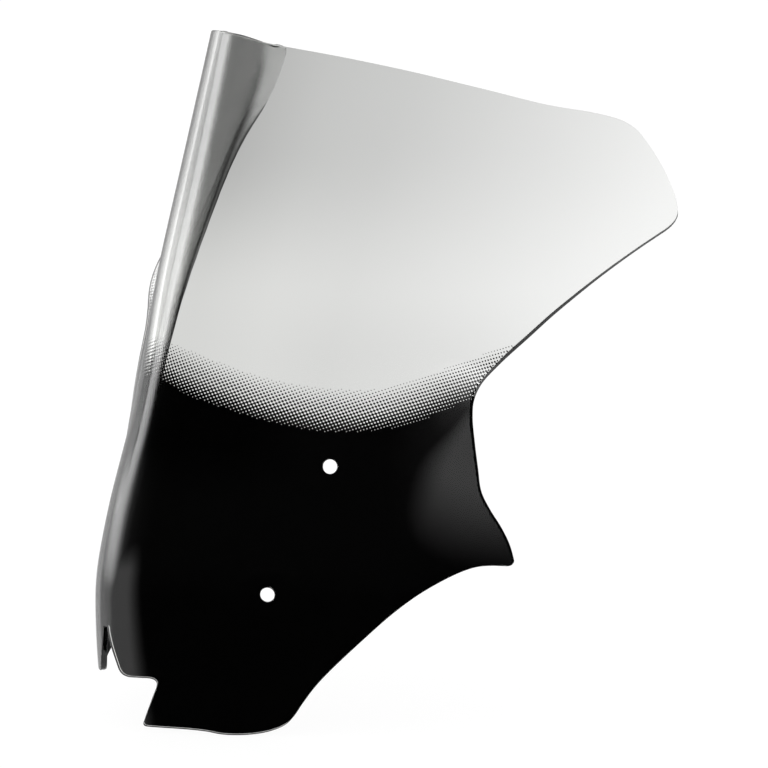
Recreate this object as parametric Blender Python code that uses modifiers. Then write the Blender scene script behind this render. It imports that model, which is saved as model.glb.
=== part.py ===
"""Motorcycle windshield screen: one thermoformed clear acrylic sheet, printed black on its lower rear face.

The screen is a prow with a rounded nose on the centre plane, two swept flanks that end in ears at the top and
in small wings lower down, and a slot between two tabs at the bottom of the nose. The right flank carries a
chin below the tabs that the left flank doesn't have.

Lengths are in millimetres up to the last step, which scales them to metres.
+X is the screen's left-to-right direction seen from the front, -Y is forward, +Z is up.
"""

import bpy
import numpy as np
from mathutils import Vector
from mathutils.geometry import delaunay_2d_cdt

MM = 0.001
COLLECTION_NAME = "windshield_screen"

SHEET_THICKNESS = 4.0
PRINT_THICKNESS = 0.3
PRINT_GAP = 0.3
HOLE_DIAMETER = 9.0
SEAT_RADIUS = 12.0
SEAT_BLEND_RADIUS = 24.0

# The outer face, station by station down the screen:
# height, nose line, flank slope, nose softness, ridge spread, flare of the outer flank
STATIONS = np.array(
    [
        (0.0, 0.8, 1.78, 39.0, 0.0, 0.20),
        (-50.0, -12.4, 1.67, 42.3, 0.0, 0.30),
        (-100.0, -26.6, 1.61, 43.4, 0.0, 0.46),
        (-150.0, -41.9, 1.50, 39.8, 0.0, 0.72),
        (-195.0, -54.1, 1.21, 23.4, 0.0, 1.03),
        (-240.0, -65.5, 1.06, 17.0, 0.5, 0.56),
        (-290.0, -84.5, 1.10, 17.0, 4.0, 0.41),
        (-340.0, -97.0, 1.10, 19.0, 5.0, 0.24),
        (-390.0, -94.0, 1.06, 20.0, 3.0, 0.15),
        (-435.0, -87.0, 1.05, 20.0, 2.0, 0.10),
    ]
)
STATION_SOFTNESS = 16.0
FLARE_START = 120.0
FLARE_SOFTNESS = 22.0

# Screw hole centres on the right half, seen from the front
HOLES = [(93.1, -262.8), (77.5, -341.2)]

# The right half of the outline seen from the front, in stretches that meet at rounded corners.
# Each corner is given by how far from it the rounding starts.
TOP_EDGE = [
    (0.0, -1.6),
    (13.5, -3.5),
    (26.6, -7.0),
    (52.6, -14.3),
    (79.7, -24.1),
    (107.6, -35.9),
    (134.0, -46.6),
    (152.7, -51.6),
    (164.1, -55.9),
    (171.3, -61.1),
    (177.3, -67.9),
    (188.4, -82.2),
    (195.7, -92.4),
    (202.8, -102.6),
    (209.2, -113.7),
]
EAR_EDGE = [
    (209.2, -113.7),
    (198.2, -131.2),
    (189.4, -147.1),
    (181.6, -164.5),
    (175.7, -180.2),
    (168.0, -195.4),
    (160.3, -209.2),
    (158.0, -219.1),
    (158.9, -228.9),
    (162.2, -243.6),
    (165.9, -259.7),
    (169.2, -274.3),
    (174.7, -285.1),
    (181.2, -295.7),
    (186.2, -306.5),
    (189.7, -319.6),
]
WING_EDGE = [
    (189.7, -319.6),
    (177.1, -319.8),
    (170.6, -321.0),
    (162.0, -325.3),
    (147.0, -336.8),
    (134.0, -350.2),
    (120.0, -368.0),
    (99.6, -396.4),
]
CHIN_EDGE = [
    (99.6, -396.4),
    (92.0, -409.6),
    (87.6, -418.0),
    (83.4, -423.6),
    (77.0, -427.6),
    (70.0, -429.8),
    (62.0, -430.7),
    (55.0, -430.4),
    (48.5, -428.8),
    (41.0, -427.8),
    (18.4, -426.6),
]
CHIN_FRONT = [(18.4, -426.6), (29.8, -395.4)]
TAB_EDGE = [(29.8, -395.4), (9.6, -395.4)]
SHORT_EDGE = [(99.6, -396.4), (9.6, -395.4)]
SLOT_EDGE = [(9.6, -395.4), (6.9, -386.0), (3.8, -376.2), (1.6, -367.6), (1.4, -364.4)]
SLOT_TOP = [(1.4, -364.4), (0.0, -364.4)]
EAR_TIP_ROUND = 6.5
WING_TIP_ROUND = 4.5
CHIN_CORNER_ROUND = 3.0
CHIN_STEP_ROUND = 6.5
TAB_ROUND = 6.0
SHORT_CORNER_ROUND = 14.0
SLOT_TOP_ROUND = 1.3

# The print's two limits on the right half: where the dots begin, and where they have become solid black
FADE_START = [(0.0, -186.5), (22.8, -194.6), (41.6, -203.4), (58.8, -210.5), (84.0, -215.7)]
FADE_START += [(106.1, -215.2), (121.2, -209.1), (138.9, -199.3), (159.8, -188.3), (181.4, -175.9)]
FADE_END = [(0.0, -211.0), (10.3, -214.9), (27.6, -223.9), (43.4, -230.3), (54.3, -234.8), (72.3, -240.0)]
FADE_END += [(89.4, -243.1), (116.1, -240.0), (129.0, -235.1), (141.8, -227.6), (162.0, -216.5)]

EDGE_STEP = 6.0
HOLE_SEGMENTS = 24
SEAT_SEGMENTS = 20
NOSE_COLUMNS = [4.0, 8.5, 13.0, 18.0, 24.0, 31.0, 39.0, 49.0, 60.0]
FLANK_STEP = 13.0
ROW_STEP = 13.0
EDGE_CLEARANCE = 0.55

# The middle of the finished sheet's bounding box, which is the model's origin
ORIGIN = np.array([0.0, 52.0, -216.1])

MATERIALS = {
    "screen_sheet": {"color": (0.80, 0.82, 0.80, 0.30), "roughness": 0.04},
    "black_print": {"color": (0.008, 0.008, 0.009, 1.0), "roughness": 0.30},
    "fade_print": {"color": (0.10, 0.10, 0.10, 1.0), "roughness": 0.35},
}


def clear_scene():
    for obj in list(bpy.data.objects):
        bpy.data.objects.remove(obj, do_unlink=True)


def ramp(t, softness):
    """Zero well below t = 0 and t well above it, with a soft knee between."""
    return (t + np.sqrt(t * t + softness * softness)) / 2


def station_value(column, z):
    """A straight-line profile through the stations whose knees are softened."""
    heights, values = STATIONS[:, 0], STATIONS[:, column]
    slopes = np.diff(values) / np.diff(heights)
    result = values[0] + slopes[0] * (z - heights[0])
    for height, change in zip(heights[1:-1], np.diff(slopes)):
        result = result - change * ramp(height - z, STATION_SOFTNESS)
    return result


def formed_depth(x, z):
    """How far back the outer face is at a point of the front view, before the screw seats are flattened."""
    nose, slope, crown, spread, flare = (station_value(column, z) for column in range(1, 6))
    near_ridge = np.sqrt((x - spread) ** 2 + crown**2)
    far_ridge = np.sqrt((x + spread) ** 2 + crown**2)
    section = slope * ((near_ridge + far_ridge) / 2 - np.sqrt(spread**2 + crown**2))
    flared = ramp(np.abs(x) - FLARE_START, FLARE_SOFTNESS) - ramp(-FLARE_START, FLARE_SOFTNESS)
    return nose + section - flare * flared


def gradient(depth, x, z):
    step = 0.05
    along_x = (depth(x + step, z) - depth(x - step, z)) / (2 * step)
    along_z = (depth(x, z + step) - depth(x, z - step)) / (2 * step)
    return along_x, along_z


def seats():
    """Centre, slopes and depth of the flat seat round each screw hole, on both halves."""
    found = []
    for side in (1, -1):
        for x, z in HOLES:
            slope_x, slope_z = gradient(formed_depth, np.float64(side * x), np.float64(z))
            found.append((side * x, z, slope_x, slope_z, formed_depth(side * x, z)))
    return found


SEATS = seats()


def in_seat_plane(seat, x, z):
    """Distance from the hole's axis, measured in the seat's own plane."""
    centre_x, centre_z, slope_x, slope_z, _ = seat
    dx, dz = x - centre_x, z - centre_z
    return np.sqrt(dx**2 + dz**2 + (slope_x * dx + slope_z * dz) ** 2)


def face_depth(x, z):
    """The outer face, flat round each hole and blended back into the formed surface."""
    depth = formed_depth(x, z)
    for seat in SEATS:
        centre_x, centre_z, slope_x, slope_z, centre_depth = seat
        plane = centre_depth + slope_x * (x - centre_x) + slope_z * (z - centre_z)
        away = (in_seat_plane(seat, x, z) - SEAT_RADIUS) / (SEAT_BLEND_RADIUS - SEAT_RADIUS)
        away = np.clip(away, 0.0, 1.0)
        share = 1 - away**3 * (10 - 15 * away + 6 * away**2)
        depth = depth + share * (plane - depth)
    return depth


def inward_normals(x, z):
    slope_x, slope_z = gradient(face_depth, x, z)
    normals = np.stack([-slope_x, np.ones_like(slope_x), -slope_z], axis=-1)
    return normals / np.linalg.norm(normals, axis=-1, keepdims=True)


def smooth_curve(points, step):
    """A Catmull-Rom curve through the points, as points about one step apart."""
    points = np.array(points, float)
    padded = np.vstack([2 * points[0] - points[1], points, 2 * points[-1] - points[-2]])
    knots = np.concatenate([[0], np.cumsum(np.sqrt(np.linalg.norm(np.diff(padded, axis=0), axis=1)))])
    curve = []
    for i in range(1, len(padded) - 2):
        p0, p1, p2, p3 = padded[i - 1 : i + 3]
        t0, t1, t2, t3 = knots[i - 1 : i + 3]
        count = max(1, round(np.linalg.norm(p2 - p1) / step))
        for t in np.linspace(t1, t2, count, endpoint=False):
            a1 = ((t1 - t) * p0 + (t - t0) * p1) / (t1 - t0)
            a2 = ((t2 - t) * p1 + (t - t1) * p2) / (t2 - t1)
            a3 = ((t3 - t) * p2 + (t - t2) * p3) / (t3 - t2)
            b1 = ((t2 - t) * a1 + (t - t0) * a2) / (t2 - t0)
            b2 = ((t3 - t) * a2 + (t - t1) * a3) / (t3 - t1)
            curve.append(((t2 - t) * b1 + (t - t1) * b2) / (t2 - t1))
    curve.append(points[-1])
    return np.array(curve)


def trimmed(curve, cut, at_end):
    """The curve without its first or last stretch of the given length."""
    curve = curve[::-1] if at_end else curve
    length = np.concatenate([[0], np.cumsum(np.linalg.norm(np.diff(curve, axis=0), axis=1))])
    start = [np.interp(cut, length, curve[:, k]) for k in range(2)]
    kept = np.vstack([start, curve[length > cut + 0.2]])
    return kept[::-1] if at_end else kept


def join_rounded(first, second, cut, step):
    """Two curves that share a corner, joined by a rounding that starts cut away from it."""
    corner = first[-1]
    first, second = trimmed(first, cut, True), trimmed(second, cut, False)
    count = max(3, round(2 * cut / step) + 2)
    t = np.linspace(0, 1, count + 1)[1:-1, None]
    bend = (1 - t) ** 2 * first[-1] + 2 * t * (1 - t) * corner + t**2 * second[0]
    return np.vstack([first, bend, second])


def half_outline(stretches, roundings, step):
    curve = smooth_curve(stretches[0], step)
    for stretch, cut in zip(stretches[1:], roundings):
        curve = join_rounded(curve, smooth_curve(stretch, step), cut, step)
    return curve


def sheet_outline(step):
    """The whole outline, clockwise from the top centre, with the chin on the right half only."""
    ends = [SLOT_EDGE, SLOT_TOP]
    right = half_outline(
        [TOP_EDGE, EAR_EDGE, WING_EDGE[:-1] + CHIN_EDGE, CHIN_FRONT, TAB_EDGE, *ends],
        [EAR_TIP_ROUND, WING_TIP_ROUND, CHIN_CORNER_ROUND, CHIN_STEP_ROUND, TAB_ROUND, SLOT_TOP_ROUND],
        step,
    )
    left = half_outline(
        [TOP_EDGE, EAR_EDGE, WING_EDGE, SHORT_EDGE, *ends],
        [EAR_TIP_ROUND, WING_TIP_ROUND, SHORT_CORNER_ROUND, TAB_ROUND, SLOT_TOP_ROUND],
        step,
    )
    left = left * (-1, 1)
    return np.vstack([right, left[-2:0:-1]])


def circle_in_seat(seat, radius, count):
    """A true circle in the seat's plane, as front-view points."""
    centre_x, centre_z, slope_x, slope_z, _ = seat
    normal = np.array([-slope_x, 1.0, -slope_z])
    normal /= np.linalg.norm(normal)
    across = np.array([1.0, slope_x, 0.0])
    across /= np.linalg.norm(across)
    up = np.cross(normal, across)
    angles = np.linspace(0, 2 * np.pi, count, endpoint=False)[:, None]
    offsets = radius * (np.cos(angles) * across + np.sin(angles) * up)
    return np.array([centre_x, centre_z]) + offsets[:, [0, 2]]


def across_sheet(right_half, step):
    """A curve given on the right half, mirrored to cross the whole sheet."""
    curve = smooth_curve(right_half, step)
    return np.vstack([(curve * (-1, 1))[:0:-1], curve])


def inside(points, loop):
    """Which points lie inside a closed loop."""
    x, z = points[:, :1], points[:, 1:]
    start, end = loop, np.roll(loop, -1, axis=0)
    crosses = (start[:, 1] > z) != (end[:, 1] > z)
    with np.errstate(divide="ignore", invalid="ignore"):
        at = start[:, 0] + (z - start[:, 1]) * (end[:, 0] - start[:, 0]) / (end[:, 1] - start[:, 1])
    return (crosses & (x < at)).sum(axis=1) % 2 == 1


def grid_points(lines):
    """Fill points: narrow columns over the nose, wider ones on the flanks, none close to a line."""
    columns = list(NOSE_COLUMNS)
    while columns[-1] < TOP_EDGE[-1][0]:
        columns.append(columns[-1] + FLANK_STEP)
    columns = [-c for c in reversed(columns)] + [0.0] + columns
    points = []
    for i, x in enumerate(columns):
        shift = ROW_STEP / 2 if i % 2 else 0.0
        points += [(x, -z) for z in np.arange(shift, -STATIONS[-1, 0], ROW_STEP)]
    points = np.array(points)
    gap = np.where(np.abs(points[:, 0]) < NOSE_COLUMNS[-1], NOSE_COLUMNS[0], FLANK_STEP) * EDGE_CLEARANCE
    on_lines = np.vstack(lines)
    nearest = np.linalg.norm(points[:, None] - on_lines[None], axis=2).min(axis=1)
    clear = nearest > np.maximum(gap, EDGE_STEP * EDGE_CLEARANCE)
    for seat in SEATS:
        clear &= in_seat_plane(seat, points[:, 0], points[:, 1]) > SEAT_RADIUS + 2
    return points[clear]


def triangulated():
    """Front-view points and triangles of the sheet, with each triangle's zone: 0 clear, 1 fade or 2 black."""
    outline = sheet_outline(EDGE_STEP)
    holes = [circle_in_seat(seat, HOLE_DIAMETER / 2, HOLE_SEGMENTS) for seat in SEATS]
    seat_rims = [circle_in_seat(seat, SEAT_RADIUS - 0.5, SEAT_SEGMENTS) for seat in SEATS]
    limits = [across_sheet(FADE_START, EDGE_STEP), across_sheet(FADE_END, EDGE_STEP)]
    loops = [outline, *holes, *seat_rims]
    points, edges = [], []
    for line in loops + limits:
        first = len(points)
        points += [tuple(p) for p in line]
        edges += [(first + i, first + i + 1) for i in range(len(line) - 1)]
        if any(line is loop for loop in loops):
            edges.append((len(points) - 1, first))
    fill = grid_points(loops + limits)
    points += [tuple(p) for p in fill[inside(fill, outline)]]
    made = delaunay_2d_cdt([Vector(p) for p in points], edges, [], 0, 1e-4, False)
    points = np.array([tuple(p) for p in made[0]])
    triangles = np.array(made[2])
    centres = points[triangles].mean(axis=1)
    kept = inside(centres, outline)
    for hole in holes:
        kept &= ~inside(centres, hole)
    triangles, centres = triangles[kept], centres[kept]
    below = [centres[:, 1] < np.interp(centres[:, 0], limit[:, 0], limit[:, 1]) for limit in limits]
    return points, triangles, below[0].astype(int) + below[1].astype(int)


def parted_at_fade_end(points):
    """The points with those on the fade's lower limit moved down, which parts the two prints."""
    limit = across_sheet(FADE_END, EDGE_STEP)
    on_limit = np.abs(points[:, 1] - np.interp(points[:, 0], limit[:, 0], limit[:, 1])) < 0.01
    parted = points.copy()
    parted[on_limit, 1] -= PRINT_GAP
    return parted


def add_skin(name, points, triangles, set_back, thickness, collection):
    """An open surface set back from the outer face, thickened inwards."""
    used, corners = np.unique(triangles, return_inverse=True)
    x, z = points[used].T
    outer = np.stack([x, face_depth(x, z), z], axis=-1)
    placed = (outer + set_back * inward_normals(x, z) - ORIGIN) * MM
    mesh = bpy.data.meshes.new(name)
    mesh.from_pydata(placed.tolist(), [], corners.reshape(-1, 3).tolist())
    mesh.shade_smooth()
    mesh.materials.append(make_material(name))
    obj = bpy.data.objects.new(name, mesh)
    collection.objects.link(obj)
    solidify = obj.modifiers.new("Thickness", "SOLIDIFY")
    solidify.thickness = thickness * MM
    solidify.offset = -1.0
    solidify.use_even_offset = True
    return obj


def make_material(name):
    look = MATERIALS[name]
    material = bpy.data.materials.new(name)
    material.use_nodes = True
    shader = material.node_tree.nodes["Principled BSDF"]
    shader.inputs["Base Color"].default_value = look["color"]
    shader.inputs["Alpha"].default_value = look["color"][3]
    shader.inputs["Roughness"].default_value = look["roughness"]
    shader.inputs["Metallic"].default_value = 0.0
    material.diffuse_color = look["color"]
    return material


def main():
    clear_scene()
    collection = bpy.data.collections.new(COLLECTION_NAME)
    bpy.context.scene.collection.children.link(collection)
    points, triangles, zone = triangulated()
    behind = SHEET_THICKNESS + PRINT_GAP
    add_skin("screen_sheet", points, triangles, 0.0, SHEET_THICKNESS, collection)
    add_skin("fade_print", points, triangles[zone == 1], behind, PRINT_THICKNESS, collection)
    add_skin("black_print", parted_at_fade_end(points), triangles[zone == 2], behind, PRINT_THICKNESS, collection)


main()
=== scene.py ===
"""Looks of the motorcycle windshield screen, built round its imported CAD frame.

The clear acrylic sheet is one closed mesh with rounded, polished edges and bored screw holes. The black print
and the halftone that fades it out are thin layers of ink at its rear face.

The form is worked out in millimetres in the front view, as the CAD does it, and placed in metres.
"""

import math

import bpy
import numpy as np
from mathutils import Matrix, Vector
from mathutils.geometry import delaunay_2d_cdt
from mathutils.kdtree import KDTree

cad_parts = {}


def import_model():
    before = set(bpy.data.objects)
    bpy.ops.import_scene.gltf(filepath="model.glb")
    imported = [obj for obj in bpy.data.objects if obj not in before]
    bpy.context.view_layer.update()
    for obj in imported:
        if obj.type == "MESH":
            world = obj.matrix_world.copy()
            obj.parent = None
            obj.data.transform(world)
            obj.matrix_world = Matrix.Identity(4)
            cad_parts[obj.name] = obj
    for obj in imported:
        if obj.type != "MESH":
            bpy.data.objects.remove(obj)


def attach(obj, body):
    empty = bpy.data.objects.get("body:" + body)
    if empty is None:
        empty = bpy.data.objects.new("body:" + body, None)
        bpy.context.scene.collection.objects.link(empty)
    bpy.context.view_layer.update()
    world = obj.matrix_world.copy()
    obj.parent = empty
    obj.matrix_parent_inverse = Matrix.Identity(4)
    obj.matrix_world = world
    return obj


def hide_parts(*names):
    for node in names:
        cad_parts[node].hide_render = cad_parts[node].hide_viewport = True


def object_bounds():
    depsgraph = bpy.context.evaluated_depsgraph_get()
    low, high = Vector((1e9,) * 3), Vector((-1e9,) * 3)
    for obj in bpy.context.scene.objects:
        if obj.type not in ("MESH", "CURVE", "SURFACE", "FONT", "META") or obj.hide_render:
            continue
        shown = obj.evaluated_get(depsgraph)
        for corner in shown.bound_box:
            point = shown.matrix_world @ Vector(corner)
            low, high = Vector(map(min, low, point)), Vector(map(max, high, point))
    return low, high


MM = 0.001

# ---------------------------------------------------------------- the form, as in the CAD

SHEET_THICKNESS = 4.0
HOLE_DIAMETER = 9.0
SEAT_RADIUS = 12.0
SEAT_BLEND_RADIUS = 24.0

# height, nose line, flank slope, nose softness, ridge spread, flare of the outer flank
STATIONS = np.array(
    [
        (0.0, 0.8, 1.78, 39.0, 0.0, 0.20),
        (-50.0, -12.4, 1.67, 42.3, 0.0, 0.30),
        (-100.0, -26.6, 1.61, 43.4, 0.0, 0.46),
        (-150.0, -41.9, 1.50, 39.8, 0.0, 0.72),
        (-195.0, -54.1, 1.21, 23.4, 0.0, 1.03),
        (-240.0, -65.5, 1.06, 17.0, 0.5, 0.56),
        (-290.0, -84.5, 1.10, 17.0, 4.0, 0.41),
        (-340.0, -97.0, 1.10, 19.0, 5.0, 0.24),
        (-390.0, -94.0, 1.06, 20.0, 3.0, 0.15),
        (-435.0, -87.0, 1.05, 20.0, 2.0, 0.10),
    ]
)
STATION_SOFTNESS = 16.0
FLARE_START = 120.0
FLARE_SOFTNESS = 22.0

# Screw hole centres on the right half, seen from the front
HOLES = [(93.1, -262.8), (77.5, -341.2)]

# The right half of the outline seen from the front, in stretches that meet at rounded corners
TOP_EDGE = [
    (0.0, -1.6),
    (13.5, -3.5),
    (26.6, -7.0),
    (52.6, -14.3),
    (79.7, -24.1),
    (107.6, -35.9),
    (134.0, -46.6),
    (152.7, -51.6),
    (164.1, -55.9),
    (171.3, -61.1),
    (177.3, -67.9),
    (188.4, -82.2),
    (195.7, -92.4),
    (202.8, -102.6),
    (209.2, -113.7),
]
EAR_EDGE = [
    (209.2, -113.7),
    (198.2, -131.2),
    (189.4, -147.1),
    (181.6, -164.5),
    (175.7, -180.2),
    (168.0, -195.4),
    (160.3, -209.2),
    (158.0, -219.1),
    (158.9, -228.9),
    (162.2, -243.6),
    (165.9, -259.7),
    (169.2, -274.3),
    (174.7, -285.1),
    (181.2, -295.7),
    (186.2, -306.5),
    (189.7, -319.6),
]
WING_EDGE = [
    (189.7, -319.6),
    (177.1, -319.8),
    (170.6, -321.0),
    (162.0, -325.3),
    (147.0, -336.8),
    (134.0, -350.2),
    (120.0, -368.0),
    (99.6, -396.4),
]
CHIN_EDGE = [
    (99.6, -396.4),
    (92.0, -409.6),
    (87.6, -418.0),
    (83.4, -423.6),
    (77.0, -427.6),
    (70.0, -429.8),
    (62.0, -430.7),
    (55.0, -430.4),
    (48.5, -428.8),
    (41.0, -427.8),
    (18.4, -426.6),
]
CHIN_FRONT = [(18.4, -426.6), (29.8, -395.4)]
TAB_EDGE = [(29.8, -395.4), (9.6, -395.4)]
SHORT_EDGE = [(99.6, -396.4), (9.6, -395.4)]
SLOT_EDGE = [(9.6, -395.4), (6.9, -386.0), (3.8, -376.2), (1.6, -367.6), (1.4, -364.4)]
SLOT_TOP = [(1.4, -364.4), (0.0, -364.4)]
EAR_TIP_ROUND = 6.5
WING_TIP_ROUND = 4.5
CHIN_CORNER_ROUND = 3.0
CHIN_STEP_ROUND = 6.5
TAB_ROUND = 6.0
SHORT_CORNER_ROUND = 14.0
SLOT_TOP_ROUND = 1.3

# The print's two limits on the right half: where the dots begin, and where they have become solid black
FADE_START = [(0.0, -186.5), (22.8, -194.6), (41.6, -203.4), (58.8, -210.5), (84.0, -215.7)]
FADE_START += [(106.1, -215.2), (121.2, -209.1), (138.9, -199.3), (159.8, -188.3), (181.4, -175.9)]
FADE_END = [(0.0, -211.0), (10.3, -214.9), (27.6, -223.9), (43.4, -230.3), (54.3, -234.8), (72.3, -240.0)]
FADE_END += [(89.4, -243.1), (116.1, -240.0), (129.0, -235.1), (141.8, -227.6), (162.0, -216.5)]

# The middle of the CAD sheet's box, which is the model's origin
ORIGIN = np.array([0.0, 52.0, -216.1])

# ---------------------------------------------------------------- finer values for the looks

GRADIENT_STEP = 0.05
OUTLINE_STEP = 1.8
LIMIT_STEP = 3.0
LOOP_CLEARANCE = 0.75 * OUTLINE_STEP
LEAST_AREA = 1e-7
HOLE_SEGMENTS = 48
EDGE_ROUND = 0.7
EDGE_ROUND_STEPS = 4
NOSE_STEP = 2.2
NOSE_WIDTH = 44.0
FLANK_STEP = 3.6
ROW_STEP = 3.6
INK_INSET = 0.35
INK_HOLE_RADIUS = 4.9
INK_FRONT = 3.92
INK_BACK = 4.06
DOT_INK_FRONT = 3.90
DOT_INK_BACK = 4.04
CLEAR_ZONE_SIDE = 260.0
CLEAR_ZONE_TOP = 40.0

# The halftone's lattice in the unrolled print: two near-square steps, and how dark it is from start to end
DOT_STEP_A = np.array([1.90, 0.64])
DOT_STEP_B = np.array([1.01, -1.83])
DOT_MIDDLE_HEIGHT = -225.0
DOT_SHEAR = 0.18
DOT_SHEAR_SOFTNESS = 30.0
DOT_STRETCH = 1.015
DOT_CORNERS = 12
DOT_LEAST = 0.045
DOT_TOUCH = 0.94
DOT_LINK_FROM = 0.5
DIAMOND_FROM = 0.22
DIAMOND_SPAN = 0.28
GAP_LEAST = 1 - 0.965
GAP_MOST = 0.5
FADE_OVERLAP = 0.064
LATTICE_REACH = 160
LATTICE_SIDE = 232.0
LATTICE_BOTTOM = -26.0
LATTICE_TOP = 56.0
DOT_STRIP = 12.0
UNROLL_PASSES = 6
SECTION_HEIGHTS = np.arange(-290.0, -150.0, 3.0)
SECTION_ACROSS = np.arange(-240.0, 240.5, 1.0)


def ramp(t, softness):
    """Zero well below t = 0 and t well above it, with a soft knee between."""
    return (t + np.sqrt(t * t + softness * softness)) / 2


def station_value(column, z):
    """A straight-line profile through the stations whose knees are softened."""
    heights, values = STATIONS[:, 0], STATIONS[:, column]
    slopes = np.diff(values) / np.diff(heights)
    result = values[0] + slopes[0] * (z - heights[0])
    for height, change in zip(heights[1:-1], np.diff(slopes)):
        result = result - change * ramp(height - z, STATION_SOFTNESS)
    return result


def formed_depth(x, z):
    """How far back the outer face is at a point of the front view, before the screw seats are flattened."""
    nose, slope, crown, spread, flare = (station_value(column, z) for column in range(1, 6))
    near_ridge = np.sqrt((x - spread) ** 2 + crown**2)
    far_ridge = np.sqrt((x + spread) ** 2 + crown**2)
    section = slope * ((near_ridge + far_ridge) / 2 - np.sqrt(spread**2 + crown**2))
    flared = ramp(np.abs(x) - FLARE_START, FLARE_SOFTNESS) - ramp(-FLARE_START, FLARE_SOFTNESS)
    return nose + section - flare * flared


def gradient(depth, x, z):
    """How fast the depth changes across and up the front view."""
    step = GRADIENT_STEP
    along_x = (depth(x + step, z) - depth(x - step, z)) / (2 * step)
    along_z = (depth(x, z + step) - depth(x, z - step)) / (2 * step)
    return along_x, along_z


def seats():
    """Centre, slopes and depth of the flat seat round each screw hole, on both halves."""
    found = []
    for side in (1, -1):
        for x, z in HOLES:
            slope_x, slope_z = gradient(formed_depth, np.float64(side * x), np.float64(z))
            found.append((side * x, z, slope_x, slope_z, formed_depth(side * x, z)))
    return found


SEATS = seats()


def in_seat_plane(seat, x, z):
    """Distance from the hole's axis, measured in the seat's own plane."""
    centre_x, centre_z, slope_x, slope_z, _ = seat
    dx, dz = x - centre_x, z - centre_z
    return np.sqrt(dx**2 + dz**2 + (slope_x * dx + slope_z * dz) ** 2)


def face_depth(x, z):
    """The outer face, flat round each hole and blended back into the formed surface."""
    depth = formed_depth(x, z)
    for seat in SEATS:
        centre_x, centre_z, slope_x, slope_z, centre_depth = seat
        plane = centre_depth + slope_x * (x - centre_x) + slope_z * (z - centre_z)
        away = (in_seat_plane(seat, x, z) - SEAT_RADIUS) / (SEAT_BLEND_RADIUS - SEAT_RADIUS)
        away = np.clip(away, 0.0, 1.0)
        share = 1 - away**3 * (10 - 15 * away + 6 * away**2)
        depth = depth + share * (plane - depth)
    return depth


def on_face(flat):
    """Front-view points placed on the outer face."""
    x, z = flat[:, 0], flat[:, 1]
    return np.stack([x, face_depth(x, z), z], axis=-1)


def inward_normals(flat):
    x, z = flat[:, 0], flat[:, 1]
    slope_x, slope_z = gradient(face_depth, x, z)
    return unit(np.stack([-slope_x, np.ones_like(slope_x), -slope_z], axis=-1))


def unit(vectors):
    return vectors / np.linalg.norm(vectors, axis=-1, keepdims=True)


# ---------------------------------------------------------------- outline


def smooth_curve(points, step):
    """A Catmull-Rom curve through the points, as points about one step apart."""
    points = np.array(points, float)
    padded = np.vstack([2 * points[0] - points[1], points, 2 * points[-1] - points[-2]])
    knots = np.concatenate([[0], np.cumsum(np.sqrt(np.linalg.norm(np.diff(padded, axis=0), axis=1)))])
    curve = []
    for i in range(1, len(padded) - 2):
        p0, p1, p2, p3 = padded[i - 1 : i + 3]
        t0, t1, t2, t3 = knots[i - 1 : i + 3]
        count = max(1, round(np.linalg.norm(p2 - p1) / step))
        for t in np.linspace(t1, t2, count, endpoint=False):
            a1 = ((t1 - t) * p0 + (t - t0) * p1) / (t1 - t0)
            a2 = ((t2 - t) * p1 + (t - t1) * p2) / (t2 - t1)
            a3 = ((t3 - t) * p2 + (t - t2) * p3) / (t3 - t2)
            b1 = ((t2 - t) * a1 + (t - t0) * a2) / (t2 - t0)
            b2 = ((t3 - t) * a2 + (t - t1) * a3) / (t3 - t1)
            curve.append(((t2 - t) * b1 + (t - t1) * b2) / (t2 - t1))
    curve.append(points[-1])
    return np.array(curve)


def trimmed(curve, cut, at_end):
    """The curve without its first or last stretch of the given length."""
    curve = curve[::-1] if at_end else curve
    length = np.concatenate([[0], np.cumsum(np.linalg.norm(np.diff(curve, axis=0), axis=1))])
    start = [np.interp(cut, length, curve[:, k]) for k in range(2)]
    kept = np.vstack([start, curve[length > cut + 0.2]])
    return kept[::-1] if at_end else kept


def join_rounded(first, second, cut, step):
    """Two curves that share a corner, joined by a rounding that starts cut away from it."""
    corner = first[-1]
    first, second = trimmed(first, cut, True), trimmed(second, cut, False)
    count = max(3, round(2 * cut / step) + 2)
    t = np.linspace(0, 1, count + 1)[1:-1, None]
    bend = (1 - t) ** 2 * first[-1] + 2 * t * (1 - t) * corner + t**2 * second[0]
    return np.vstack([first, bend, second])


def half_outline(stretches, roundings, step):
    """The stretches as one curve, with a rounding at each corner between them."""
    curve = smooth_curve(stretches[0], step)
    for stretch, cut in zip(stretches[1:], roundings):
        curve = join_rounded(curve, smooth_curve(stretch, step), cut, step)
    return curve


def sheet_outline(step):
    """The whole outline, clockwise from the top centre, with the chin on the right half only."""
    ends = [SLOT_EDGE, SLOT_TOP]
    right = half_outline(
        [TOP_EDGE, EAR_EDGE, WING_EDGE[:-1] + CHIN_EDGE, CHIN_FRONT, TAB_EDGE, *ends],
        [EAR_TIP_ROUND, WING_TIP_ROUND, CHIN_CORNER_ROUND, CHIN_STEP_ROUND, TAB_ROUND, SLOT_TOP_ROUND],
        step,
    )
    left = half_outline(
        [TOP_EDGE, EAR_EDGE, WING_EDGE, SHORT_EDGE, *ends],
        [EAR_TIP_ROUND, WING_TIP_ROUND, SHORT_CORNER_ROUND, TAB_ROUND, SLOT_TOP_ROUND],
        step,
    )
    left = left * (-1, 1)
    return np.vstack([right, left[-2:0:-1]])


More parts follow.
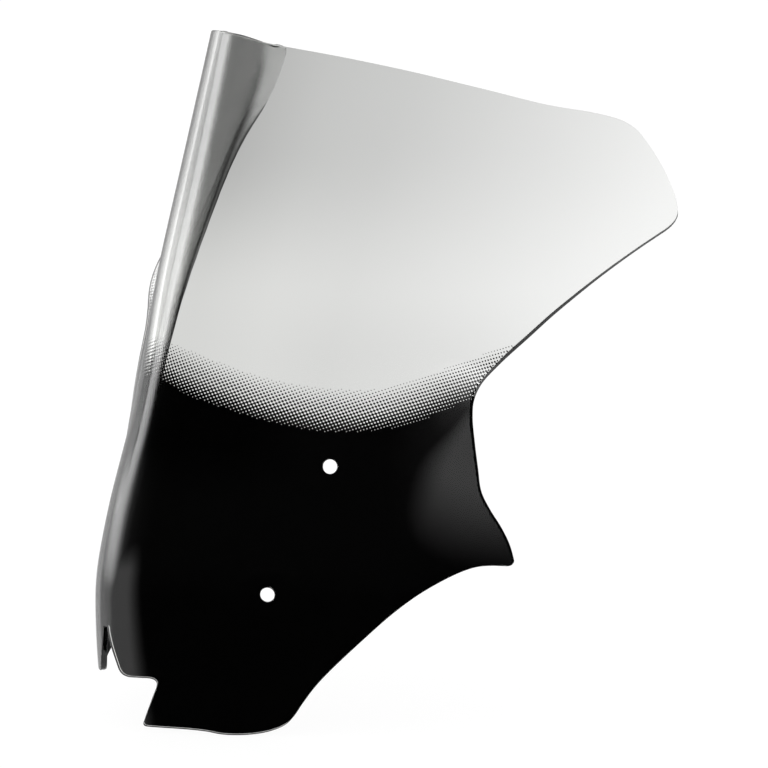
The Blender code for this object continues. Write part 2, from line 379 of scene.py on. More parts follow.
def circle_in_seat(seat, radius, count):
    """A true circle in the seat's plane, as front-view points, clockwise."""
    centre_x, centre_z, slope_x, slope_z, _ = seat
    normal = unit(np.array([-slope_x, 1.0, -slope_z]))
    across = unit(np.array([1.0, slope_x, 0.0]))
    up = np.cross(normal, across)
    angles = np.linspace(0, 2 * np.pi, count, endpoint=False)[:, None]
    offsets = radius * (np.cos(angles) * across + np.sin(angles) * up)
    loop = np.array([centre_x, centre_z]) + offsets[:, [0, 2]]
    return loop if turns(loop) < 0 else loop[::-1]


def turns(loop):
    """Twice the signed area of a loop: positive if it runs anticlockwise."""
    x, z = loop.T
    return float((x * np.roll(z, -1) - np.roll(x, -1) * z).sum())


def across_sheet(right_half, step):
    """A curve given on the right half, mirrored to cross the whole sheet."""
    curve = smooth_curve(right_half, step)
    return np.vstack([(curve * (-1, 1))[:0:-1], curve])


def edge_directions(loop):
    """At each point of a clockwise loop, the direction in the surface that leads out of the loop."""
    placed = on_face(loop)
    tangents = unit(np.roll(placed, -1, axis=0) - np.roll(placed, 1, axis=0))
    return unit(np.cross(tangents, inward_normals(loop)))


def moved_in(loop, distance):
    """A clockwise loop moved in the surface towards its own inside."""
    return loop - distance * edge_directions(loop)[:, [0, 2]]


def inside(points, loop):
    """Which points lie inside a closed loop."""
    found = np.zeros(len(points), bool)
    for start, end in zip(loop, np.roll(loop, -1, axis=0)):
        if start[1] == end[1]:
            continue
        crosses = (start[1] > points[:, 1]) != (end[1] > points[:, 1])
        at = start[0] + (points[:, 1] - start[1]) * (end[0] - start[0]) / (end[1] - start[1])
        found ^= crosses & (points[:, 0] < at)
    return found


# ---------------------------------------------------------------- meshes


def columns():
    """Fill columns across the sheet, close together over the nose."""
    found, x = [], NOSE_STEP
    while x < TOP_EDGE[-1][0]:
        found.append(x)
        share = min(1.0, max(0.0, (x - NOSE_WIDTH) / NOSE_WIDTH))
        x += NOSE_STEP + (FLANK_STEP - NOSE_STEP) * share
    return [-x for x in reversed(found)] + [0.0] + found


def fill_points(outline, loops):
    """Points spread over the sheet that keep clear of the loops."""
    tree = KDTree(sum(len(loop) for loop in loops))
    for i, (x, z) in enumerate(np.vstack(loops)):
        tree.insert((x, z, 0.0), i)
    tree.balance()
    points = []
    for i, x in enumerate(columns()):
        shift = ROW_STEP / 2 if i % 2 else 0.0
        points += [(x, -z) for z in np.arange(shift, -STATIONS[-1, 0], ROW_STEP)]
    points = np.array(points)
    points = points[inside(points, outline)]
    return np.array([p for p in points if tree.find((p[0], p[1], 0.0))[2] > LOOP_CLEARANCE])


def loop_of(face, points):
    """Adds a loop's points to the list, and gives their places in it, anticlockwise."""
    face = face if turns(face) > 0 else face[::-1]
    points += [Vector(p) for p in face]
    return list(range(len(points) - len(face), len(points)))


def triangulate(faces, fill):
    """Points and triangles of the first face, with the other faces cut out of it."""
    points, loops = [], []
    for face in faces:
        loops.append(loop_of(face, points))
    points += [Vector(p) for p in fill]
    made = delaunay_2d_cdt(points, [], loops, 1, 1e-5, True)
    kept = [face for face, sources in zip(made[2], made[5]) if sources == [0]]
    return tidied(np.array([tuple(p) for p in made[0]]), np.array(kept))


def tidied(points, triangles):
    """Only the points in use, and every triangle anticlockwise in the front view."""
    used, corners = np.unique(triangles, return_inverse=True)
    points, triangles = points[used], corners.reshape(-1, 3)
    a, b, c = (points[triangles[:, k]] for k in range(3))
    area = (b[:, 0] - a[:, 0]) * (c[:, 1] - a[:, 1]) - (b[:, 1] - a[:, 1]) * (c[:, 0] - a[:, 0])
    triangles[area < 0] = triangles[area < 0][:, ::-1]
    return points, triangles[np.abs(area) > LEAST_AREA]


def rim_edges(triangles):
    """The directed edges that only one triangle has."""
    edges = np.vstack([triangles[:, [0, 1]], triangles[:, [1, 2]], triangles[:, [2, 0]]])
    size = triangles.max() + 1
    key, back = edges[:, 0] * size + edges[:, 1], edges[:, 1] * size + edges[:, 0]
    return edges[~np.isin(key, back)]


def new_piece(name, points, faces, materials, normals):
    """A mesh object from points in millimetres."""
    mesh = bpy.data.meshes.new(name)
    mesh.from_pydata(((points - ORIGIN) * MM).tolist(), [], faces)
    mesh.shade_smooth()
    mesh.normals_split_custom_set_from_vertices(normals.tolist())
    for material in materials:
        mesh.materials.append(material)
    obj = bpy.data.objects.new(name, mesh)
    bpy.context.scene.collection.objects.link(obj)
    return obj


def ring_profile():
    """The rounded edge from front to back: how far out, how deep, and its normal's two parts."""
    angles = np.linspace(0, np.pi / 2, EDGE_ROUND_STEPS + 1)[1:]
    front = [
        (EDGE_ROUND * np.sin(a), EDGE_ROUND * (1 - np.cos(a)), np.sin(a), -np.cos(a)) for a in angles
    ]
    back = [(out, SHEET_THICKNESS - deep, n_out, -n_deep) for out, deep, n_out, n_deep in front]
    return front + back[::-1]


def build_sheet(material):
    """The acrylic sheet: two faces, and a rounded rim along the outline and each hole."""
    outline = sheet_outline(OUTLINE_STEP)
    outline = outline if turns(outline) < 0 else outline[::-1]
    rims = [outline] + [circle_in_seat(seat, HOLE_DIAMETER / 2, HOLE_SEGMENTS) for seat in SEATS]
    signs = [1] + [-1] * len(SEATS)
    inner = [moved_in(rim, sign * EDGE_ROUND) for rim, sign in zip(rims, signs)]
    fill = fill_points(inner[0], inner)
    flat, triangles = triangulate(inner, fill)
    count = len(flat)
    front, normals = on_face(flat), inward_normals(flat)
    points = [front, front + SHEET_THICKNESS * normals]
    directions = [-normals, normals]
    faces = triangles.tolist() + (triangles[:, ::-1] + count).tolist()
    tree = KDTree(count)
    for i, (x, z) in enumerate(flat):
        tree.insert((x, z, 0.0), i)
    tree.balance()
    first = 2 * count
    for rim, loop, sign in zip(rims, inner, signs):
        outwards = sign * edge_directions(rim)
        base, deep = on_face(loop), inward_normals(loop)
        places = [tree.find((x, z, 0.0))[1] for x, z in loop]
        rings = [places]
        for out, depth, n_out, n_deep in ring_profile():
            points.append(base + out * outwards + depth * deep)
            directions.append(n_out * outwards + n_deep * deep)
            rings.append(list(range(first, first + len(loop))))
            first += len(loop)
        rings.append([place + count for place in places])
        for near, far in zip(rings, rings[1:]):
            for i in range(len(loop)):
                j = (i + 1) % len(loop)
                quad = [near[i], near[j], far[j], far[i]]
                faces.append(quad if sign > 0 else quad[::-1])
    return new_piece("clear_screen", np.vstack(points), faces, [material], unit(np.vstack(directions)))


def build_slab(name, flat, triangles, front_depth, back_depth, materials):
    """A closed thin layer that follows the sheet between two depths. Its front has the first material."""
    face, normals = on_face(flat), inward_normals(flat)
    count = len(flat)
    points = np.vstack([face + front_depth * normals, face + back_depth * normals])
    walls = [[b, a, a + count, b + count] for a, b in rim_edges(triangles).tolist()]
    faces = triangles.tolist() + (triangles[:, ::-1] + count).tolist() + walls
    piece = new_piece(name, points, faces, materials, np.vstack([-normals, normals]))
    skin = np.arange(len(faces)) >= len(triangles)
    piece.data.polygons.foreach_set("material_index", skin.astype(np.int32))
    return piece


# ---------------------------------------------------------------- print


def ink_outline():
    """The print stops a little short of the sheet's edge."""
    outline = sheet_outline(OUTLINE_STEP)
    outline = outline if turns(outline) < 0 else outline[::-1]
    return moved_in(outline, INK_INSET)


def fade_limits():
    """The two limits of the fade, across the whole sheet."""
    return across_sheet(FADE_START, LIMIT_STEP), across_sheet(FADE_END, LIMIT_STEP)


def build_black(materials):
    """The solid black layer: the sheet's lower part, cut out round the screw holes."""
    outline = ink_outline()
    holes = [circle_in_seat(seat, INK_HOLE_RADIUS, HOLE_SEGMENTS) for seat in SEATS]
    limit = fade_limits()[1]
    side, top = CLEAR_ZONE_SIDE, CLEAR_ZONE_TOP
    above = [(side, limit[-1, 1]), (side, top), (-side, top), (-side, limit[0, 1])]
    clear_zone = np.vstack([limit, above])
    fill = fill_points(outline, [outline, *holes, limit])
    flat, triangles = triangulate([outline, *holes, clear_zone], fill)
    return build_slab("black_ink_layer", flat, triangles, INK_FRONT, INK_BACK, materials)


def section_lengths():
    """Arc length from the centre plane along each level section of the face."""
    lengths = []
    for height in SECTION_HEIGHTS:
        depth = formed_depth(SECTION_ACROSS, height)
        run = np.concatenate([[0], np.cumsum(np.hypot(np.diff(SECTION_ACROSS), np.diff(depth)))])
        lengths.append(run - np.interp(0.0, SECTION_ACROSS, run))
    return lengths


SECTION_LENGTHS = section_lengths()


def unrolled_to_flat(points):
    """Points of the unrolled print, placed in the front view."""
    z = DOT_MIDDLE_HEIGHT + points[:, 1] / DOT_STRETCH
    lean = DOT_SHEAR * (z - DOT_MIDDLE_HEIGHT)
    length = points[:, 0]
    for _ in range(UNROLL_PASSES):
        length = points[:, 0] - lean * length / np.sqrt(length**2 + DOT_SHEAR_SOFTNESS**2)
    place = (z - SECTION_HEIGHTS[0]) / (SECTION_HEIGHTS[1] - SECTION_HEIGHTS[0])
    low = np.floor(place).astype(int)
    x = np.zeros(len(z))
    for row in np.unique(low):
        here = low == row
        below = np.interp(length[here], SECTION_LENGTHS[row], SECTION_ACROSS)
        above = np.interp(length[here], SECTION_LENGTHS[row + 1], SECTION_ACROSS)
        x[here] = below + (place[here] - row) * (above - below)
    return np.stack([x, z], axis=-1)


def dot_shape(coverage):
    """A halftone spot as steps along the lattice: round when small, a diamond where spots meet."""
    angles = np.linspace(0, 2 * np.pi, DOT_CORNERS, endpoint=False)
    round_radius = math.sqrt(coverage / math.pi)
    diamond = 0.5 * math.sqrt(coverage / 0.5) / (np.abs(np.cos(angles)) + np.abs(np.sin(angles)))
    share = min(1.0, max(0.0, (coverage - DIAMOND_FROM) / DIAMOND_SPAN))
    radius = np.minimum((1 - share) * round_radius + share * diamond, 0.5 * DOT_TOUCH)
    return np.stack([radius * np.cos(angles), radius * np.sin(angles)], axis=-1)


def darkness(flat):
    """How far down the fade a front-view point is: 0 at its start and 1 where the print is solid."""
    start, end = fade_limits()
    top = np.interp(flat[:, 0], start[:, 0], start[:, 1])
    bottom = np.interp(flat[:, 0], end[:, 0], end[:, 1])
    return (top - flat[:, 1]) / (top - bottom)


def lattice():
    """Whole-number places of the lattice whose spots may fall in the fade."""
    reach = np.arange(-LATTICE_REACH, LATTICE_REACH + 1)
    a, b = (grid.ravel() for grid in np.meshgrid(reach, reach))
    spot = a[:, None] * DOT_STEP_A + b[:, None] * DOT_STEP_B
    across, up = spot.T
    near = (np.abs(across) < LATTICE_SIDE) & (up > LATTICE_BOTTOM) & (up < LATTICE_TOP)
    return a[near], b[near]


def to_flat(places):
    """Places along the lattice's two steps, as points of the front view."""
    return unrolled_to_flat(places[:, :1] * DOT_STEP_A + places[:, 1:] * DOT_STEP_B)


def build_fade(materials):
    """The halftone: loose dots that grow down the sheet, then ink whose gaps shrink until it is solid."""
    a, b = lattice()
    dark = darkness(to_flat(np.stack([a, b], axis=-1)))
    dark_gap = darkness(to_flat(np.stack([a + 0.5, b + 0.5], axis=-1)))
    place = {pair: i for i, pair in enumerate(zip(a.tolist(), b.tolist()))}
    fade_end = 1.0 + FADE_OVERLAP
    linked_gaps = set()
    for (i, j), k in place.items():
        corners = [(i, j), (i + 1, j), (i, j + 1), (i + 1, j + 1)]
        if not all(corner in place for corner in corners):
            continue
        linked = all(dark[place[corner]] > DOT_LINK_FROM for corner in corners)
        if linked and DOT_LINK_FROM < dark_gap[k] < fade_end:
            linked_gaps.add((i, j))
    inks, gaps = [], []
    square = np.array([(0.5, 0.0), (0.0, 0.5), (-0.5, 0.0), (0.0, -0.5)])
    beside = [((0, 0), (0, -1)), ((0, 0), (-1, 0)), ((-1, 0), (-1, -1)), ((0, -1), (-1, -1))]
    for (i, j), k in place.items():
        links = [any((i + di, j + dj) in linked_gaps for di, dj in pair) for pair in beside]
        if any(links):
            shape = square * np.where(links, 1.0, DOT_TOUCH)[:, None]
        elif 0 < dark[k] < fade_end:
            shape = dot_shape(DOT_LEAST + dark[k] * (1 - DOT_LEAST))
        else:
            continue
        inks.append(shape + (i, j))
    for i, j in linked_gaps:
        inks.append(square + (i + 0.5, j + 0.5))
        left = 1 - dark_gap[place[(i, j)]]
        if left > GAP_LEAST:
            gaps.append(dot_shape(min(left, GAP_MOST)) + (i + 0.5, j + 0.5))
    inks, gaps = ([to_flat(shape) for shape in shapes] for shapes in (inks, gaps))
    flat, triangles = inked(ink_outline(), inks, gaps)
    return build_slab("halftone_ink_layer", flat, triangles, DOT_INK_FRONT, DOT_INK_BACK, materials)


def in_strips(shapes, outline):
    """The shapes that reach inside the outline, sorted into upright strips."""
    ends = np.cumsum([len(shape) for shape in shapes])
    within = inside(np.vstack(shapes), outline)
    strips = {}
    for shape, end in zip(shapes, ends):
        if within[end - len(shape) : end].any():
            strips.setdefault(int(shape[:, 0].mean() // DOT_STRIP), []).append(shape)
    return strips


def inked(outline, inks, gaps):
    """Points and triangles of the ink inside the outline and outside the gaps, worked out strip by strip."""
    all_points, all_triangles, count = [], [], 0
    ink_strips, gap_strips = in_strips(inks, outline), in_strips(gaps, outline)
    for strip in sorted(ink_strips):
        ink_shapes = ink_strips[strip]
        points, loops = [], []
        for face in [outline, *ink_shapes, *gap_strips.get(strip, [])]:
            loops.append(loop_of(face, points))
        made = delaunay_2d_cdt(points, [], loops, 1, 1e-4, True)
        for face, sources in zip(made[2], made[5]):
            if 0 in sources and len(sources) > 1 and max(sources) <= len(ink_shapes):
                all_triangles.append([corner + count for corner in face])
        all_points += [tuple(p) for p in made[0]]
        count += len(made[0])
    _, first, merged = np.unique(np.round(all_points, 3), axis=0, return_index=True, return_inverse=True)
    return tidied(np.array(all_points)[first], merged.ravel()[np.array(all_triangles)])


# ---------------------------------------------------------------- materials


class Nodes:
    """Short calls for building a node tree."""

    def __init__(self, owner):
        owner.use_nodes = True
        self.tree = owner.node_tree

    def add(self, kind, **inputs):
        """A new node whose inputs are fed by name, with underscores for spaces."""
        node = self.tree.nodes.new(kind)
        for name, value in inputs.items():
            self.feed(node, name.replace("_", " "), value)
        return node

    def feed(self, node, name, value):
        """Links a socket to an input, or sets the input to a value. A name like #2 is an input's number."""
        socket = node.inputs[int(name[1:])] if name[0] == "#" else node.inputs[name]
        if isinstance(value, bpy.types.NodeSocket):
            self.tree.links.new(value, socket)
        else:
            socket.default_value = value

    def math(self, operation, *values, clamp=False):
        node = self.tree.nodes.new("ShaderNodeMath")
        node.operation = operation
        node.use_clamp = clamp
        for i, value in enumerate(values):
            self.feed(node, f"#{i}", value)
        return node.outputs[0]

    def spread(self, value, low, high, to_low, to_high, smooth=False):
        """A value that goes from to_low to to_high while another goes from low to high."""
        node = self.add(
            "ShaderNodeMapRange", Value=value, From_Min=low, From_Max=high, To_Min=to_low, To_Max=to_high
        )
        node.interpolation_type = "SMOOTHSTEP" if smooth else "LINEAR"
        return node.outputs["Result"]

    def along(self, vector, axis):
        """The part of a vector that lies along a fixed axis."""
        node = self.tree.nodes.new("ShaderNodeVectorMath")
        node.operation = "DOT_PRODUCT"
        self.feed(node, "#0", vector)
        node.inputs[1].default_value = axis
        return node.outputs["Value"]

    def noise(self, scale, detail=2.0):
        node = self.add(
            "ShaderNodeTexNoise", Scale=scale, Detail=detail, Roughness=NOISE_ROUGHNESS, Vector=self.place()
        )
        return node.outputs["Fac"]

    def place(self):
        """The place on the object, in metres."""
        found = [n for n in self.tree.nodes if n.type == "TEX_COORD"]
        node = found[0] if found else self.tree.nodes.new("ShaderNodeTexCoord")
        return node.outputs["Object"]

    def reflected(self):
        """One on a path that has met a mirror or a glossy surface, and zero on any other."""
        path = self.tree.nodes.new("ShaderNodeLightPath")
        return self.math("MINIMUM", path.outputs["Glossy Depth"], 1.0)

    def blend(self, factor, first, second):
        node = self.tree.nodes.new("ShaderNodeMixShader")
        for place, value in enumerate((factor, first, second)):
            self.feed(node, f"#{place}", value)
        return node.outputs[0]

    def ramp(self, levels, factor):
        """A grey that follows a list of places from 0 to 1 and their levels."""
        node = self.tree.nodes.new("ShaderNodeValToRGB")
        self.feed(node, "Fac", factor)
        stops = node.color_ramp.elements
        while len(stops) < len(levels):
            stops.new(0.5)
        for stop, (place, level) in zip(stops, levels):
            stop.position = place
            stop.color = (level, level, level, 1.0)
        return node.outputs["Color"]

    def mix(self, factor, first, second):
        node = self.tree.nodes.new("ShaderNodeMix")
        node.data_type = "RGBA"
        for place, value in ((0, factor), (6, first), (7, second)):
            self.feed(node, f"#{place}", value)
        return node.outputs[2]


# The acrylic's tint: smoked along the nose and clear at the ears, each from its upper to its lower tone
SMOKE_UPPER = (0.45, 0.453, 0.446, 1.0)
SMOKE_LOWER = (0.65, 0.654, 0.64, 1.0)
SMOKE_HEIGHTS = (0.15, 0.05)
CLEAR_UPPER = (0.975, 0.98, 0.97, 1.0)
CLEAR_LOWER = (0.86, 0.865, 0.855, 1.0)
CLEAR_HEIGHTS = (0.065, 0.015)
CLEARING_ACROSS = (0.02, 0.2)
CLOUD_SCALE = 7.0
CLOUD_STRENGTH = 0.02
POLISH_SCALE = 26.0
POLISH_LOW = 0.35
POLISH_ROUGHNESS = 0.012
WAVE_SCALE = 16.0
WAVE_STRENGTH = 0.012
WAVE_HEIGHT = 0.0006
ACRYLIC_IOR = 1.49
NOISE_ROUGHNESS = 0.55
NOISE_LOW, NOISE_HIGH = 0.3, 0.7

# Painted reflection on the sheet above the print: how much reflection is kept, by place across the nose in
# metres. The thin full band just right of the centre paints the crease's highlight line, and the low levels
# beside it paint dark strips on the nose.
PAINTED_NOSE_REFLECTION = [
    (-0.050, 0.8),
    (-0.036, 0.25),
    (-0.020, 0.05),
    (0.000, 0.02),
    (0.0015, 1.0),
    (0.0055, 1.0),
    (0.0080, 0.08),
    (0.052, 0.08),
    (0.080, 1.0),
]
# Width of the painted reflection's ramp across the nose, and the heights over which the painted reflection
# fades in going up; below them the sheet reflects in full
PAINTED_NOSE_REFLECTION_WIDTH = 0.2
PAINTED_NOSE_REFLECTION_HEIGHTS = (-0.075, -0.03)
WHITE = (1.0, 1.0, 1.0, 1.0)

INK_DARK = (0.0012, 0.0012, 0.0014, 1.0)
INK_PALE = (0.0026, 0.0026, 0.0026, 1.0)
BONDED_ROUGHNESS = (0.5, 0.6)
SKIN_GLOSS = 0.18
SKIN_ROUGHNESS = (0.4, 0.52)
INK_DETAIL = 3.0
PIGMENT_SCALE = 40.0
SATIN_SCALE = 220.0
GRAIN_SCALE = 900.0
GRAIN_STRENGTH = 0.08
GRAIN_HEIGHT = 0.0002


def acrylic():
    """Clear acrylic: a light smoke tint that clears towards the ears, barely visible forming waves, and a
    painted reflection over the upper nose with a painted highlight line.
    """
    material = bpy.data.materials.new("clear_acrylic_with_painted_reflection")
    nodes = Nodes(material)
    shader = nodes.tree.nodes["Principled BSDF"]
    split = nodes.add("ShaderNodeSeparateXYZ", Vector=nodes.place())
    across, height = split.outputs["X"], split.outputs["Z"]
    clouds = nodes.spread(nodes.noise(CLOUD_SCALE), NOISE_LOW, NOISE_HIGH, -CLOUD_STRENGTH, CLOUD_STRENGTH)
    outwards = nodes.spread(nodes.math("ABSOLUTE", across), *CLEARING_ACROSS, 0.0, 1.0)
    clearing = nodes.math("ADD", outwards, clouds, clamp=True)
    smoke = nodes.mix(nodes.spread(height, *SMOKE_HEIGHTS, 0.0, 1.0, smooth=True), SMOKE_UPPER, SMOKE_LOWER)
    clear = nodes.mix(nodes.spread(height, *CLEAR_HEIGHTS, 0.0, 1.0, smooth=True), CLEAR_UPPER, CLEAR_LOWER)
    nodes.feed(shader, "Base Color", nodes.mix(clearing, smoke, clear))
    polish = nodes.spread(nodes.noise(POLISH_SCALE), POLISH_LOW, NOISE_HIGH, 0.0, POLISH_ROUGHNESS)
    nodes.feed(shader, "Roughness", polish)
    waves = nodes.noise(WAVE_SCALE, 1.0)
    bump = nodes.add("ShaderNodeBump", Height=waves, Strength=WAVE_STRENGTH, Distance=WAVE_HEIGHT)
    nodes.feed(shader, "Normal", bump.outputs["Normal"])
    # Painted reflection: the Specular Tint follows place across the nose above the print, dimming reflections
    # in strips and painting a thin highlight line; lower down the sheet reflects in full.
    place = nodes.spread(across, -PAINTED_NOSE_REFLECTION_WIDTH / 2, PAINTED_NOSE_REFLECTION_WIDTH / 2, 0.0, 1.0)
    gloss = nodes.ramp([(x / PAINTED_NOSE_REFLECTION_WIDTH + 0.5, level) for x, level in PAINTED_NOSE_REFLECTION], place)
    upper = nodes.spread(height, *PAINTED_NOSE_REFLECTION_HEIGHTS, 0.0, 1.0, smooth=True)
    nodes.feed(shader, "Specular Tint", nodes.mix(upper, WHITE, gloss))
    shader.inputs["IOR"].default_value = ACRYLIC_IOR
    shader.inputs["Transmission Weight"].default_value = 1.0
    return material


def ink(name, gloss, roughness):
    """Black screen-print ink with a fine, slightly uneven skin."""
    material = bpy.data.materials.new(name)
    nodes = Nodes(material)
    shader = nodes.tree.nodes["Principled BSDF"]
    nodes.feed(shader, "Base Color", nodes.mix(nodes.noise(PIGMENT_SCALE), INK_DARK, INK_PALE))
    satin = nodes.noise(SATIN_SCALE, INK_DETAIL)
    nodes.feed(shader, "Roughness", nodes.spread(satin, NOISE_LOW, NOISE_HIGH, *roughness))
    grain = nodes.noise(GRAIN_SCALE, INK_DETAIL)
    bump = nodes.add("ShaderNodeBump", Height=grain, Strength=GRAIN_STRENGTH, Distance=GRAIN_HEIGHT)
    nodes.feed(shader, "Normal", bump.outputs["Normal"])
    shader.inputs["Specular IOR Level"].default_value = gloss
    return material


def inks(name):
    """The ink's front, bonded to the sheet without a gloss of its own, and its bare satin back."""
    return [ink(name + "_bonded", 0.0, BONDED_ROUGHNESS), ink(name + "_skin", SKIN_GLOSS, SKIN_ROUGHNESS)]


def floor_material():
    """A pale floor that glows, and that reflections look through to the studio's walls."""
    material = bpy.data.materials.new("pale_floor")
    nodes = Nodes(material)
    nodes.tree.nodes.remove(nodes.tree.nodes["Principled BSDF"])
    paint = nodes.add("ShaderNodeBsdfDiffuse", Color=FLOOR_PAINT)
    glow = nodes.add("ShaderNodeEmission", Color=WHITE, Strength=FLOOR_GLOW)
    surface = nodes.blend(FLOOR_PAINT_SHARE, glow.outputs[0], paint.outputs[0])
    nothing = nodes.add("ShaderNodeBsdfTransparent")
    surface = nodes.blend(nodes.reflected(), surface, nothing.outputs[0])
    nodes.feed(nodes.tree.nodes["Material Output"], "Surface", surface)
    return material


# ---------------------------------------------------------------- studio

CAMERA_AZIMUTH = math.radians(50.0)
CAMERA_ELEVATION = math.radians(11.2)
CAMERA_LENS = 1200.0
SENSOR = 36.0
FRAME_WIDTH = 0.4762
AIM_RIGHT = 0.060
AIM_UP = -0.0141
FLOOR_PAINT = (0.9, 0.9, 0.9, 1.0)
FLOOR_PAINT_SHARE = 0.12
FLOOR_GLOW = 1.06
FLOOR_RADIUS = 60
FLOOR_CORNERS = 96
FLOOR_GAP = 0.0004
ROOM_LIGHT = 1.0
ROOM_LIGHT_ON_PAINT = 0.8

# The studio as reflections see it: light by bearing, in degrees to the right of straight behind the object
STUDIO_PEAK = 8.0
STUDIO_WALL = [
    (-180, 0.02),
    (-160, 0.02),
    (-150, 0.05),
    (-140, 0.1),
    (-130, 0.4),
    (-122, 1.6),
    (-112, 5.0),
    (-104, 7.5),
    (-90, 8.0),
    (-75, 7.5),
    (-62, 5.5),
    (-50, 3.8),
    (-40, 2.6),
    (-28, 1.6),
    (-18, 1.2),
    (-8, 0.85),
    (0, 0.65),
    (5, 0.05),
    (12, 0.02),
    (180, 0.02),
]
# The wall's light fades out downwards and upwards, and keeps a least level where the nose faces it
WALL_LOW_EDGE = (-6.0, 12.0)
WALL_LOW_LEVEL = 0.25
WALL_AHEAD_EDGE = (-70.0, -40.0)
WALL_AHEAD_LEVEL = 0.6
WALL_HIGH_EDGE = (22.0, 36.0)
WALL_HIGH_LEVEL = 0.02

# The lit paper behind the object ends on a slanting line: bearing + rise * elevation = edge, in degrees
PAPER_LIGHT = 0.9
PAPER_RISE = 4.5
PAPER_EDGE = -54.0
PAPER_SOFTNESS = 1.5
PAPER_START = (-20.0, -5.0)

# The grey table in front of the object, seen low in the black zone between two bearings
TABLE_LIGHT = 1.1
TABLE_EDGE = (6.0, 12.0)
TABLE_SIDES = [(-159.0, -144.0), (-96.0, -106.0)]


def camera_axes():
    """The directions from the object back to the camera, to the camera's right, and up in its view."""
    back = Vector(
        (
            math.sin(CAMERA_AZIMUTH) * math.cos(CAMERA_ELEVATION),
            -math.cos(CAMERA_AZIMUTH) * math.cos(CAMERA_ELEVATION),
            math.sin(CAMERA_ELEVATION),
        )
    )
    right = Vector((math.cos(CAMERA_AZIMUTH), math.sin(CAMERA_AZIMUTH), 0.0))
    return back, right, back.cross(right)


def add_camera(centre):
    """A long lens at the viewing angle, aimed a little beside the object's middle."""
    back, right, up = camera_axes()
    camera = bpy.data.objects.new("camera", bpy.data.cameras.new("camera"))
    camera.data.lens = CAMERA_LENS
    camera.data.sensor_width = SENSOR
    distance = FRAME_WIDTH * CAMERA_LENS / SENSOR
    camera.data.clip_start = 0.1
    camera.data.clip_end = distance * 6
    camera.location = centre + back * distance + right * AIM_RIGHT + up * AIM_UP
    camera.rotation_mode = "QUATERNION"
    camera.rotation_quaternion = back.to_track_quat("Z", "Y")
    bpy.context.scene.collection.objects.link(camera)
    bpy.context.scene.camera = camera


def add_floor(height):
    """A wide round floor just below the screen."""
    mesh = bpy.data.meshes.new("floor")
    angles = np.linspace(0, 2 * np.pi, FLOOR_CORNERS, endpoint=False)
    rim = [(FLOOR_RADIUS * math.cos(a), FLOOR_RADIUS * math.sin(a), height) for a in angles]
    mesh.from_pydata(rim, [], [list(range(len(rim)))])
    mesh.materials.append(floor_material())
    floor = bpy.data.objects.new("floor", mesh)
    bpy.context.scene.collection.objects.link(floor)


def add_world():
    """White wherever the camera looks, straight or through the sheet.

    Reflections see a dark studio with a bright wall, a sheet of lit paper and a grey table.
    """
    world = bpy.data.worlds.new("studio")
    bpy.context.scene.world = world
    nodes = Nodes(world)
    back, right, _ = camera_axes()
    direction = nodes.tree.nodes.new("ShaderNodeTexCoord").outputs["Generated"]
    split = nodes.add("ShaderNodeSeparateXYZ", Vector=direction)
    sideways = nodes.along(direction, right)
    away = nodes.along(direction, Vector((-back.x, -back.y, 0.0)).normalized())
    bearing = nodes.math("MULTIPLY", nodes.math("ARCTAN2", sideways, away), 180 / math.pi)
    elevation = nodes.math("MULTIPLY", nodes.math("ARCSINE", split.outputs["Z"]), 180 / math.pi)
    parts = [studio_wall(nodes, bearing, elevation), studio_table(nodes, bearing, elevation)]
    parts.append(studio_paper(nodes, bearing, elevation))
    studio = nodes.math("MAXIMUM", nodes.math("MAXIMUM", parts[0], parts[1]), parts[2])
    path = nodes.tree.nodes.new("ShaderNodeLightPath")
    room = nodes.spread(path.outputs["Is Diffuse Ray"], 0.0, 1.0, ROOM_LIGHT, ROOM_LIGHT_ON_PAINT)
    change = nodes.math("MULTIPLY", nodes.reflected(), nodes.math("SUBTRACT", studio, room))
    background = nodes.tree.nodes["Background"]
    background.inputs["Color"].default_value = WHITE
    nodes.feed(background, "Strength", nodes.math("ADD", change, room))


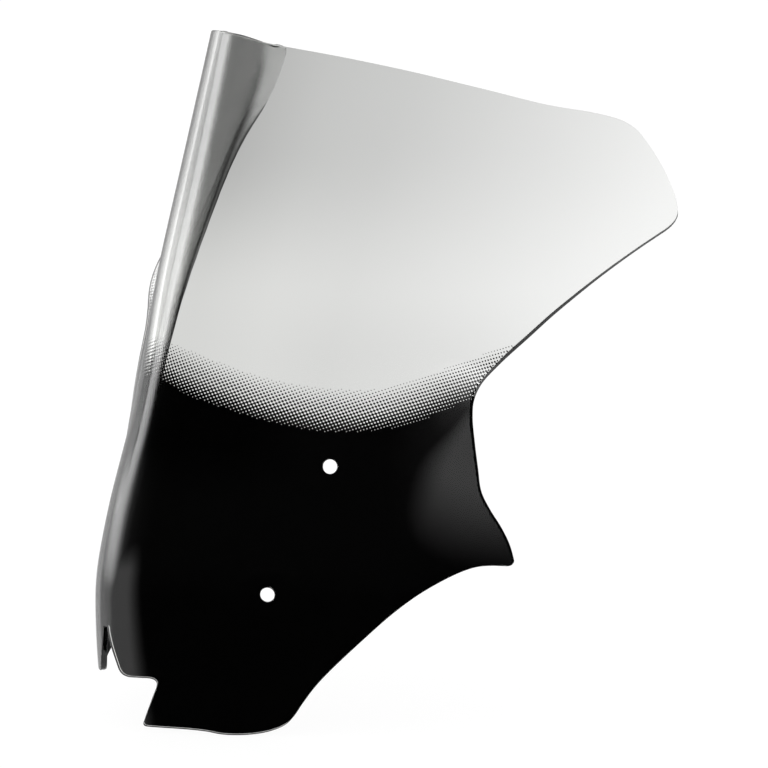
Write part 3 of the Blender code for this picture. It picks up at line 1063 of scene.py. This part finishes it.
def studio_wall(nodes, bearing, elevation):
    """The bright wall, by bearing, faded out downwards and upwards."""
    levels = [((degrees + 180) / 360, light / STUDIO_PEAK) for degrees, light in STUDIO_WALL]
    wall = nodes.ramp(levels, nodes.spread(bearing, -180.0, 180.0, 0.0, 1.0))
    low = nodes.spread(elevation, *WALL_LOW_EDGE, WALL_LOW_LEVEL, 1.0, smooth=True)
    ahead = nodes.spread(bearing, *WALL_AHEAD_EDGE, 0.0, WALL_AHEAD_LEVEL)
    high = nodes.spread(elevation, *WALL_HIGH_EDGE, 1.0, WALL_HIGH_LEVEL, smooth=True)
    wall = nodes.math("MULTIPLY", wall, nodes.math("MAXIMUM", low, ahead))
    return nodes.math("MULTIPLY", wall, nodes.math("MULTIPLY", high, STUDIO_PEAK))


def studio_paper(nodes, bearing, elevation):
    """The lit paper, on one side of its slanting line."""
    slant = nodes.math("ADD", bearing, nodes.math("MULTIPLY", elevation, PAPER_RISE))
    near, far = PAPER_EDGE - PAPER_SOFTNESS, PAPER_EDGE + PAPER_SOFTNESS
    paper = nodes.spread(slant, near, far, PAPER_LIGHT, 0.0, smooth=True)
    return nodes.math("MULTIPLY", paper, nodes.spread(bearing, *PAPER_START, 0.0, 1.0, smooth=True))


def studio_table(nodes, bearing, elevation):
    """The grey table, below its edge and between its sides."""
    table = nodes.spread(elevation, *TABLE_EDGE, TABLE_LIGHT, 0.0, smooth=True)
    for side in TABLE_SIDES:
        table = nodes.math("MULTIPLY", table, nodes.spread(bearing, *side, 0.0, 1.0, smooth=True))
    return table


def corners(box):
    return [list(corner) for corner in box]


def main():
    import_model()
    cad_box = corners(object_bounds())
    low, high = (Vector(corner) for corner in cad_box)
    centre = (low + high) / 2
    bpy.context.scene.view_settings.view_transform = "Standard"
    add_camera(centre)
    add_world()
    add_floor(low.z - FLOOR_GAP)

    sheet = build_sheet(acrylic())
    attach(sheet, "root")
    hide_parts("screen_sheet")
    black = build_black(inks("black_ink"))
    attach(black, "root")
    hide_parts("black_print")
    fade = build_fade(inks("halftone_ink"))
    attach(fade, "root")
    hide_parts("fade_print")


main()
